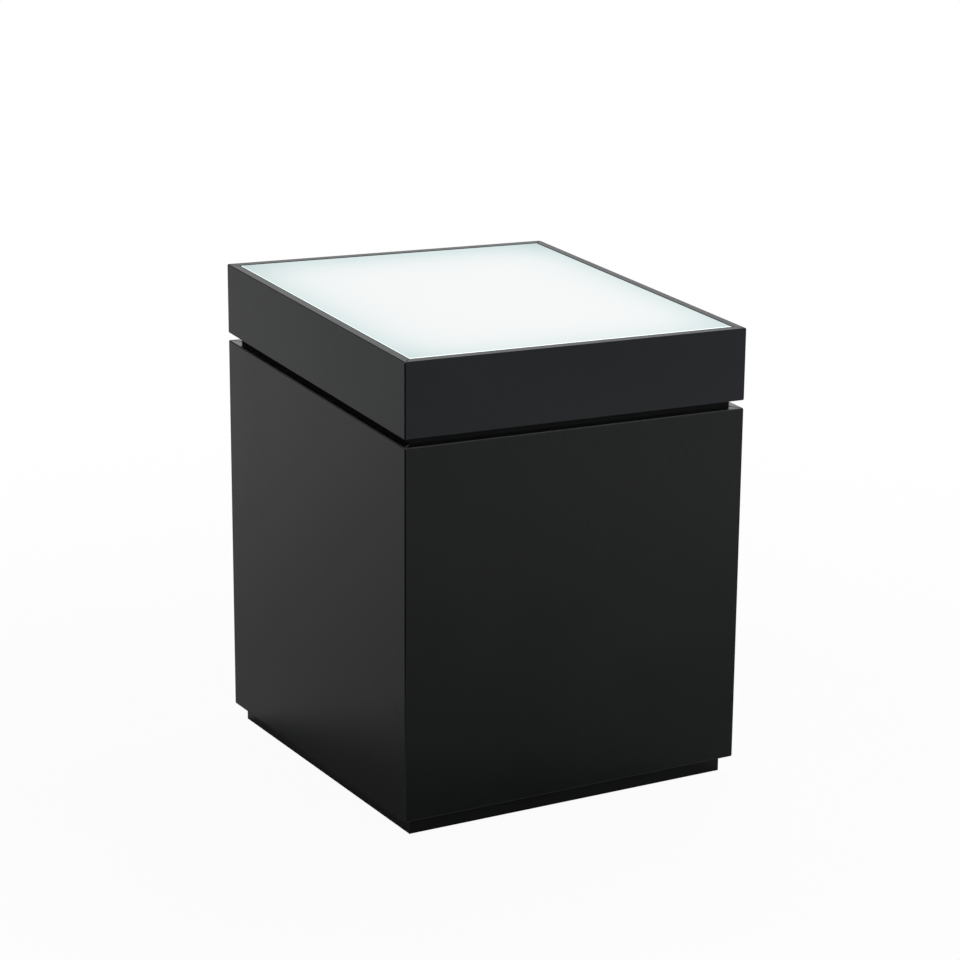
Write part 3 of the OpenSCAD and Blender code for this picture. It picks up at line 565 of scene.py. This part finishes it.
# Black nylon, moulded: matt from a spark-eroded mould, whose grain is drawn 0.8 mm across to show
nylon = new_material("black_moulded_nylon")
SPARK_MM = 0.8
spark = add_node(nylon, "TexNoise", {"Vector": add_node(nylon, "TexCoord").outputs["Object"],
                                     "Scale": 1000 / SPARK_MM, "Detail": 2.0})
spark_bump = add_node(nylon, "Bump", {"Height": spark.outputs["Fac"], "Strength": 0.3,
                                      "Distance": 0.0001})
spark_tone = add_node(nylon, "Mix", {0: spark.outputs["Fac"], 6: linear("#161618"),
                                     7: linear("#212123")}, data_type="RGBA")
nylon_skin = add_node(nylon, "BsdfPrincipled", {
    "Base Color": spark_tone.outputs[2], "Roughness": 0.55, "IOR": 1.53,
    "Normal": spark_bump.outputs[0]})
add_node(nylon, "OutputMaterial", {"Surface": nylon_skin.outputs[0]})
dress(["inlet_housing"], nylon)
soften(["inlet_housing"], width_mm=0.25)

# Nickel-plated brass blades: a warm pale metal, with scratches along it from being pushed home,
# drawn 0.5 mm apart to show
blade_brass = new_material("plated_brass_blade")
SCRATCH_MM = 0.5
ALONG_SCRATCH = 0.05
blade_place = add_node(blade_brass, "Mapping", {
    "Vector": add_node(blade_brass, "TexCoord").outputs["Object"],
    "Scale": (1.0, ALONG_SCRATCH, 1.0)})
blade_lines = add_node(blade_brass, "TexNoise", {"Vector": blade_place.outputs[0],
                                                 "Scale": 1000 / SCRATCH_MM})
blade_rough = add_node(blade_brass, "MapRange", {"Value": blade_lines.outputs["Fac"],
                                                 "To Min": 0.15, "To Max": 0.35})
blade_tone = add_node(blade_brass, "Mix", {0: blade_lines.outputs["Fac"], 6: linear("#c0ab7b"),
                                           7: linear("#d8c799")}, data_type="RGBA")
blade_skin = add_node(blade_brass, "BsdfPrincipled", {
    "Base Color": blade_tone.outputs[2], "Metallic": 1.0, "Roughness": blade_rough.outputs[0]})
add_node(blade_brass, "OutputMaterial", {"Surface": blade_skin.outputs[0]})
dress(["inlet_pins"], blade_brass)
soften(["inlet_pins"], width_mm=0.3)

# Rocker: the same nylon from a polished mould, so glossier, dulled in patches by fingers
rocker_nylon = new_material("black_polished_nylon")
FINGER_WEAR_MM = 3.3
wear = add_node(rocker_nylon, "TexNoise", {
    "Vector": add_node(rocker_nylon, "TexCoord").outputs["Object"], "Scale": 1000 / FINGER_WEAR_MM,
    "Detail": 3.0})
wear_rough = add_node(rocker_nylon, "MapRange", {"Value": wear.outputs["Fac"], "To Min": 0.2,
                                                 "To Max": 0.36})
wear_tone = add_node(rocker_nylon, "Mix", {0: wear.outputs["Fac"], 6: linear("#101012"),
                                           7: linear("#19191b")}, data_type="RGBA")
rocker_skin = add_node(rocker_nylon, "BsdfPrincipled", {
    "Base Color": wear_tone.outputs[2], "Roughness": wear_rough.outputs[0], "IOR": 1.53})
add_node(rocker_nylon, "OutputMaterial", {"Surface": rocker_skin.outputs[0]})
dress(["rocker"], rocker_nylon)
soften(["rocker"], width_mm=0.25)

# Pad-printed ink: thin, so the black dims it in specks
white_print = new_material("white_pad_print")
INK_SPECK_MM = 0.4
ink = add_node(white_print, "TexNoise", {
    "Vector": add_node(white_print, "TexCoord").outputs["Object"], "Scale": 1000 / INK_SPECK_MM,
    "Detail": 2.0})
ink_tone = add_node(white_print, "Mix", {0: ink.outputs["Fac"], 6: linear("#cfcfcf"),
                                         7: linear("#f2f2f2")}, data_type="RGBA")
print_skin = add_node(white_print, "BsdfPrincipled", {
    "Base Color": ink_tone.outputs[2], "Roughness": 0.5, "IOR": 1.5})
add_node(white_print, "OutputMaterial", {"Surface": print_skin.outputs[0]})

# The rocker's pivot and its turn at rest. Its face is a shallow V: each half runs out and away from
# the waist in the middle, and a mark sits PRINT_ALONG of the way.
PIVOT = Vector((0.215, 0.302, 0.102))
ROCKER_REST = math.radians(-7)
ROCKER_DISH = (0.0026, 0.0073)
ROCKER_WAIST = 0.0022
PRINT_ALONG = 0.52
PRINT_T = 0.00012


def print_mark(name, outline, hole, upper):
    """A printed mark on the rocker's upper or lower half. hole is its inner edge, if it has one."""
    run = Vector((0.0, ROCKER_DISH[0], ROCKER_DISH[1] if upper else -ROCKER_DISH[1]))
    outward = Vector((0.0, ROCKER_DISH[1], -ROCKER_DISH[0] if upper else ROCKER_DISH[0]))
    outward.normalize()
    middle = Vector((0.0, ROCKER_WAIST, 0.0)) + run * PRINT_ALONG
    across = Vector((-1.0, 0.0, 0.0))
    up = outward.cross(across)
    turn = Matrix.Rotation(ROCKER_REST, 3, "X")
    mark = bmesh.new()
    layers = []
    for lift in (-PRINT_T, PRINT_T / 2):
        rings = [[mark.verts.new(PIVOT + turn @ (middle + across * x + up * y + outward * lift))
                  for x, y in loop] for loop in (outline, hole) if loop]
        layers.append(rings)
    for low, high in zip(*layers):
        for k in range(len(low)):
            n = (k + 1) % len(low)
            mark.faces.new((low[k], low[n], high[n], high[k]))
    for rings in layers:
        if len(rings) == 1:
            mark.faces.new(rings[0])
            continue
        outer, inner = rings
        for k in range(len(outer)):
            n = (k + 1) % len(outer)
            mark.faces.new((outer[k], outer[n], inner[n], inner[k]))
    bmesh.ops.recalc_face_normals(mark, faces=mark.faces)
    mesh = bpy.data.meshes.new(name)
    mark.to_mesh(mesh)
    mark.free()
    mesh.materials.append(white_print)
    piece = bpy.data.objects.new(name, mesh)
    scene.collection.objects.link(piece)
    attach(piece, "rocker")


def circle_points(radius, count=32):
    """Points round a circle, anticlockwise."""
    turns = [2 * math.pi * k / count for k in range(count)]
    return [(radius * math.cos(turn), radius * math.sin(turn)) for turn in turns]


# On the lower half, pressed in at rest, a bar for on; on the upper half a ring for off
BAR_W, BAR_H = 0.0008, 0.0036
RING_OUTER, RING_INNER = 0.0018, 0.0012
bar_outline = [(-BAR_W / 2, -BAR_H / 2), (BAR_W / 2, -BAR_H / 2), (BAR_W / 2, BAR_H / 2),
               (-BAR_W / 2, BAR_H / 2)]
print_mark("rocker_on_bar", bar_outline, None, upper=False)
print_mark("rocker_off_ring", circle_points(RING_OUTER), circle_points(RING_INNER), upper=True)

# The driver's case is the same extrusion as the channels
dress(["driver_case"], aluminium)
soften(["driver_case"], width_mm=0.4)
recessed_screws("driver_screws", head_d_mm=7)

# PVC sheath, extruded: black on the thicker mains lead, satin, with a slower ripple
black_pvc = new_material("black_pvc_sheath")
MAINS_RIPPLE_MM = 5
black_ripple = add_node(black_pvc, "TexNoise", {
    "Vector": add_node(black_pvc, "TexCoord").outputs["Object"], "Scale": 1000 / MAINS_RIPPLE_MM,
    "Detail": 1.0})
black_ripple_bump = add_node(black_pvc, "Bump", {"Height": black_ripple.outputs["Fac"],
                                                 "Strength": 0.2, "Distance": 0.0003})
black_sheath_tone = add_node(black_pvc, "Mix", {0: black_ripple.outputs["Fac"], 6: linear("#141416"),
                                                7: linear("#1e1e20")}, data_type="RGBA")
black_pvc_skin = add_node(black_pvc, "BsdfPrincipled", {
    "Base Color": black_sheath_tone.outputs[2], "Roughness": 0.42, "IOR": 1.53,
    "Normal": black_ripple_bump.outputs[0]})
add_node(black_pvc, "OutputMaterial", {"Surface": black_pvc_skin.outputs[0]})
dress(["mains_lead"], black_pvc)

# Black rubber grommet, moulded: dead matt, with a grey bloom in patches about 4.5 mm across
rubber = new_material("black_moulded_rubber")
BLOOM_MM = 4.5
bloom = add_node(rubber, "TexNoise", {"Vector": add_node(rubber, "TexCoord").outputs["Object"],
                                      "Scale": 1000 / BLOOM_MM, "Detail": 4.0})
bloom_tone = add_node(rubber, "Mix", {0: bloom.outputs["Fac"], 6: linear("#141414"),
                                      7: linear("#2b2b2a")}, data_type="RGBA")
rubber_skin = add_node(rubber, "BsdfPrincipled", {"Base Color": bloom_tone.outputs[2],
                                                  "Roughness": 0.85, "IOR": 1.52})
add_node(rubber, "OutputMaterial", {"Surface": rubber_skin.outputs[0]})
dress(["deck_grommet"], rubber)
soften(["deck_grommet"], width_mm=0.5)


# ---- Lit top ----
# Four mitred rails of the black board round a white-painted liner, lifted off by the shadow gap.
# The liner stands on the collar, spreads the light and carries the glass on foam tape.

# The rails are faced from another sheet of the laminate, a shade greyer. Their rim is rubbed duller,
# because the glass is lifted over it.
grey_laminate = pressed_laminate("grey_black_melamine_laminate", "#111417", "#181b1f", 0.22)

# The arris turns to a mitre where it faces two ways at once by more than MITRE_TURN, and lies on the
# rim where it faces up by more than MITRE_RISE
MITRE_TURN, MITRE_RISE = 0.13, 0.2


def painted_mitre_highlight(arris, normal):
    """The mitres' arris across the rim, where it faces up, is painted paler as a highlight."""
    turned = [add_node(arris, "Math", {0: normal.outputs[axis]}, operation="ABSOLUTE").outputs[0]
              for axis in "XY"]
    least = add_node(arris, "Math", {0: turned[0], 1: turned[1]}, operation="MINIMUM")
    diagonal = add_node(arris, "Math", {0: least.outputs[0], 1: MITRE_TURN},
                        operation="GREATER_THAN")
    upward = add_node(arris, "Math", {0: normal.outputs["Z"], 1: MITRE_RISE},
                      operation="GREATER_THAN")
    return add_node(arris, "Math", {0: diagonal.outputs[0], 1: upward.outputs[0]},
                    operation="MULTIPLY").outputs[0]


# The rails' arris: dull black, with a painted highlight on the mitres across the rim
rail_arris = board_arris("black_arris_painted_mitre_highlight", "#060606", "#4c4c4e", painted_mitre_highlight)
RAILS = ["top_rail_" + side for side in SIDES]
dress(RAILS, grey_laminate, rail_arris)
soften(RAILS, ARRIS_MM, slot=1)
LINERS = ["top_liner_" + side for side in SIDES]
dress(LINERS, rolled_white("rolled_white_paint"))
soften(LINERS, width_mm=0.4)

# Foam tape, slit from sheet: white closed cells about 0.5 mm across
foam = new_material("white_foam_tape")
CELL_MM = 0.5
cells = add_node(foam, "TexVoronoi", {"Vector": add_node(foam, "TexCoord").outputs["Object"],
                                      "Scale": 1000 / CELL_MM})
cell_bump = add_node(foam, "Bump", {"Height": cells.outputs["Distance"], "Strength": 0.3,
                                    "Distance": 0.0002})
cell_tone = add_node(foam, "Mix", {0: cells.outputs["Distance"], 6: linear("#e9ebe8"),
                                   7: linear("#d3d6d2")}, data_type="RGBA")
foam_skin = add_node(foam, "BsdfPrincipled", {"Base Color": cell_tone.outputs[2], "Roughness": 0.85,
                                              "IOR": 1.45, "Normal": cell_bump.outputs[0]})
add_node(foam, "OutputMaterial", {"Surface": foam_skin.outputs[0]})
dress(["glass_tape"], foam)


# ---- Glass ----
# One pane of 6 mm float glass, etched on top and laid in loose. Its light from the lamps below is
# painted on as a glow: white over the lamps, falling off to the glass's own pale green towards the
# rails.

# The real etch is too fine to see, so its grain is drawn 1.1 mm across
glass = new_material("etched_float_glass")
ETCH_MM = 1.1
PANE = (0.576, 0.601)
TOP_MIDDLE = (0.0, 0.0, 0.772)
glass_place = add_node(glass, "Mapping", {
    "Vector": add_node(glass, "TexCoord").outputs["Object"], "Location": TOP_MIDDLE,
    "Rotation": (SLOPE, 0.0, 0.0)}, vector_type="TEXTURE")
glass_axes = add_node(glass, "SeparateXYZ", {0: glass_place.outputs[0]})
# The glow is even over the lamps and drops within about 110 mm of the rails, as the power
# GLOW_FALL sets. It sits GLOW_SHIFT towards the low side. The corners, with rails on two sides,
# get the least light.
GLOW_FALL = 5.5
GLOW_SHIFT = -0.018
glow, drop = {}, {}
for axis, shift, half in (("X", 0.0, PANE[0] / 2), ("Y", GLOW_SHIFT, PANE[1] / 2)):
    off = add_node(glass, "Math", {0: glass_axes.outputs[axis], 1: shift}, operation="SUBTRACT")
    away = add_node(glass, "Math", {0: off.outputs[0], 1: half}, operation="DIVIDE")
    near = add_node(glass, "Math", {0: away.outputs[0]}, operation="ABSOLUTE")
    drop[axis] = add_node(glass, "Math", {0: near.outputs[0], 1: GLOW_FALL}, operation="POWER")
    glow[axis] = add_node(glass, "Math", {0: 1.0, 1: drop[axis].outputs[0]}, operation="SUBTRACT")
glow_both = add_node(glass, "Math", {0: glow["X"].outputs[0], 1: glow["Y"].outputs[0]},
                     operation="MULTIPLY")
in_corner = add_node(glass, "Math", {0: drop["X"].outputs[0], 1: drop["Y"].outputs[0]},
                     operation="MULTIPLY")
edge_tone = add_node(glass, "Mix", {0: glow_both.outputs[0], 6: linear("#ddeded"),
                                    7: linear("#feffff")}, data_type="RGBA")
glow_tone = add_node(glass, "Mix", {0: in_corner.outputs[0], 6: edge_tone.outputs[2],
                                    7: linear("#c6dadb")}, data_type="RGBA")
# The pane glows through its two faces, and its sawn edges are the glass's own dark green
pane_face = add_node(glass, "SeparateXYZ", {0: add_node(glass, "NewGeometry").outputs["Normal"]})
pane_flat = add_node(glass, "Math", {0: pane_face.outputs["Z"]}, operation="ABSOLUTE")
on_face = add_node(glass, "MapRange", {"Value": pane_flat.outputs[0], "From Min": 0.3,
                                       "From Max": 0.7})
shown_glow = add_node(glass, "Mix", {0: on_face.outputs[0], 6: linear("#14241e"),
                                     7: glow_tone.outputs[2]}, data_type="RGBA")
pane_tone = add_node(glass, "Mix", {0: on_face.outputs[0], 6: linear("#1d3a30"),
                                    7: linear("#616363")}, data_type="RGBA")
etch = add_node(glass, "TexNoise", {"Vector": add_node(glass, "TexCoord").outputs["Object"],
                                    "Scale": 1000 / ETCH_MM, "Detail": 2.0})
etch_bump = add_node(glass, "Bump", {"Height": etch.outputs["Fac"], "Strength": 0.1,
                                     "Distance": 0.0001})
glass_skin = add_node(glass, "BsdfPrincipled", {
    "Base Color": pane_tone.outputs[2], "Roughness": 0.65, "IOR": 1.52, "Specular IOR Level": 0.05,
    "Emission Color": shown_glow.outputs[2], "Emission Strength": 0.765,
    "Normal": etch_bump.outputs[0]})
add_node(glass, "OutputMaterial", {"Surface": glass_skin.outputs[0]})

# Ground arris of the pane: it scatters the light that runs inside the glass, so its painted glow is
# brightest, and the grinder leaves it uneven every few millimetres
glass_arris = new_material("ground_glass_arris")
GRIND_MM = 5.56
ground = add_node(glass_arris, "TexNoise", {
    "Vector": add_node(glass_arris, "TexCoord").outputs["Object"], "Scale": 1000 / GRIND_MM,
    "Detail": 3.0})
ground_tone = add_node(glass_arris, "Mix", {0: ground.outputs["Fac"], 6: linear("#c8dcd6"),
                                            7: linear("#fbfffd")}, data_type="RGBA")
glass_arris_skin = add_node(glass_arris, "BsdfPrincipled", {
    "Base Color": linear("#e4efec"), "Roughness": 0.6, "IOR": 1.52,
    "Emission Color": ground_tone.outputs[2], "Emission Strength": 0.85})
add_node(glass_arris, "OutputMaterial", {"Surface": glass_arris_skin.outputs[0]})
dress(["glass_panel"], glass, glass_arris)
soften(["glass_panel"], width_mm=0.7, slot=1)


# ---- Studio ----
# A white paper floor with a painted shadow round the stand, in an evenly lit white room, a very wide
# soft light above the back right, and a weaker soft lamp in front. The camera stands where the
# photograph was taken from.

FLOOR_HALF = 40.0
FLOOR_DROP = 0.0002
floor_shape = bmesh.new()
bmesh.ops.create_grid(floor_shape, x_segments=1, y_segments=1, size=FLOOR_HALF)
floor_mesh = bpy.data.meshes.new("floor")
floor_shape.to_mesh(floor_mesh)
floor_shape.free()
floor = bpy.data.objects.new("floor", floor_mesh)
floor.location.z = -FLOOR_DROP
scene.collection.objects.link(floor)

# Matt white paper with a painted shadow: greyer round the stand, clearing with distance over the
# reach below, in metres
paper = new_material("white_studio_paper")
PAINTED_SHADE_REACH = (0.8, 3.0)
from_stand = add_node(paper, "VectorMath", {0: add_node(paper, "TexCoord").outputs["Object"]},
                      operation="LENGTH")
painted_shade_clearing = add_node(paper, "MapRange", {"Value": from_stand.outputs["Value"],
                                        "From Min": PAINTED_SHADE_REACH[0], "From Max": PAINTED_SHADE_REACH[1]})
paper_tone_with_painted_shade = add_node(paper, "Mix", {0: painted_shade_clearing.outputs[0], 6: linear("#b9b9b9"),
                                     7: linear("#e2e2e2")}, data_type="RGBA")
# It shows as plain white less the stand's soft shadow and a trace of the painted shadow, and the
# laminate mirrors nearly all of both, which is what darkens the foot of its faces
seen = add_node(paper, "LightPath")
seen_or_through = add_node(paper, "Math", {
    0: seen.outputs["Is Camera Ray"], 1: seen.outputs["Is Transmission Ray"]}, operation="MAXIMUM")
WHITE_SEEN, WHITE_MIRRORED = (0.95, 1.0), 0.02
white_seen = add_node(paper, "MapRange", {"Value": painted_shade_clearing.outputs[0], "To Min": WHITE_SEEN[0],
                                          "To Max": WHITE_SEEN[1]})
share_seen = add_node(paper, "Math", {0: seen_or_through.outputs[0], 1: white_seen.outputs[0]},
                      operation="MULTIPLY")
share_mirrored = add_node(paper, "Math", {0: seen.outputs["Is Glossy Ray"], 1: WHITE_MIRRORED},
                          operation="MULTIPLY")
share = add_node(paper, "Math", {0: share_seen.outputs[0], 1: share_mirrored.outputs[0]},
                 operation="MAXIMUM")
lit_paper = add_node(paper, "BsdfDiffuse", {"Color": paper_tone_with_painted_shade.outputs[2]})
plain_white = add_node(paper, "Emission", {"Color": linear("#ffffff"), "Strength": 1.0})
paper_mix = add_node(paper, "MixShader", {0: share.outputs[0], 1: lit_paper.outputs[0],
                                          2: plain_white.outputs[0]})
add_node(paper, "OutputMaterial", {"Surface": paper_mix.outputs[0]})
floor_mesh.materials.append(paper)

# The white room: plain white where it is seen, AIR_MIRRORED as bright in the stand's gloss, and
# AIR_LIGHT where it lights the stand
world = bpy.data.worlds.new("white_studio")
scene.world = world
world.use_nodes = True
world.node_tree.nodes.clear()
path = add_node(world, "LightPath")
path_seen = add_node(world, "Math", {0: path.outputs["Is Camera Ray"],
                                     1: path.outputs["Is Transmission Ray"]}, operation="MAXIMUM")
AIR_LIGHT, AIR_MIRRORED = 0.45, 0.76
air_lit = add_node(world, "MapRange", {"Value": path.outputs["Is Glossy Ray"], "To Min": AIR_LIGHT,
                                       "To Max": AIR_MIRRORED})
air = add_node(world, "Math", {0: path_seen.outputs[0], 1: air_lit.outputs[0]}, operation="MAXIMUM")
sky = add_node(world, "Background", {"Color": linear("#ffffff"), "Strength": air.outputs[0]})
add_node(world, "OutputWorld", {"Surface": sky.outputs[0]})

# One very wide soft light from the back right, above the stand
key = bpy.data.lights.new("wide_soft_light", "SUN")
key.angle = math.radians(38)
key.energy = 2.0
KEY_TURN, KEY_HEIGHT = math.radians(49), math.radians(57)
key_stand = bpy.data.objects.new("wide_soft_light", key)
key_from = Vector((math.sin(KEY_TURN) * math.cos(KEY_HEIGHT),
                   math.cos(KEY_TURN) * math.cos(KEY_HEIGHT), math.sin(KEY_HEIGHT)))
key_stand.rotation_euler = key_from.to_track_quat("Z", "Y").to_euler()
scene.collection.objects.link(key_stand)

# A weaker soft lamp in front, on the right, which the front face catches
fill = bpy.data.lights.new("front_softbox", "AREA")
fill.size = 1.4
fill.energy = 55
fill_stand = bpy.data.objects.new("front_softbox", fill)
fill_stand.location = (2.2, -2.4, 2.0)
BODY_MIDDLE = Vector((0.0, 0.0, 0.4))
fill_from = fill_stand.location - BODY_MIDDLE
fill_stand.rotation_euler = fill_from.to_track_quat("Z", "Y").to_euler()
scene.collection.objects.link(fill_stand)

# Camera: fitted to sixteen corners of the cabinet, so its place and turn are plain measurements
CAMERA_PLACE = (-1.91695, -3.36479, 1.41628)
YAW, PITCH, ROLL = 0.51869, 0.24151, 0.00718
camera_data = bpy.data.cameras.new("camera")
camera_data.lens = 90.27
camera_data.sensor_width = 36.0
camera = bpy.data.objects.new("camera", camera_data)
forward = Vector((math.sin(YAW) * math.cos(PITCH), math.cos(YAW) * math.cos(PITCH),
                  -math.sin(PITCH)))
right = Vector((math.cos(YAW), -math.sin(YAW), 0.0))
up = right.cross(forward)
rolled_right = math.cos(ROLL) * right + math.sin(ROLL) * up
rolled_up = math.cos(ROLL) * up - math.sin(ROLL) * right
turn = Matrix((rolled_right, rolled_up, -forward)).transposed().to_4x4()
camera.matrix_world = Matrix.Translation(CAMERA_PLACE) @ turn
scene.collection.objects.link(camera)
scene.camera = camera
scene.view_settings.view_transform = "Standard"
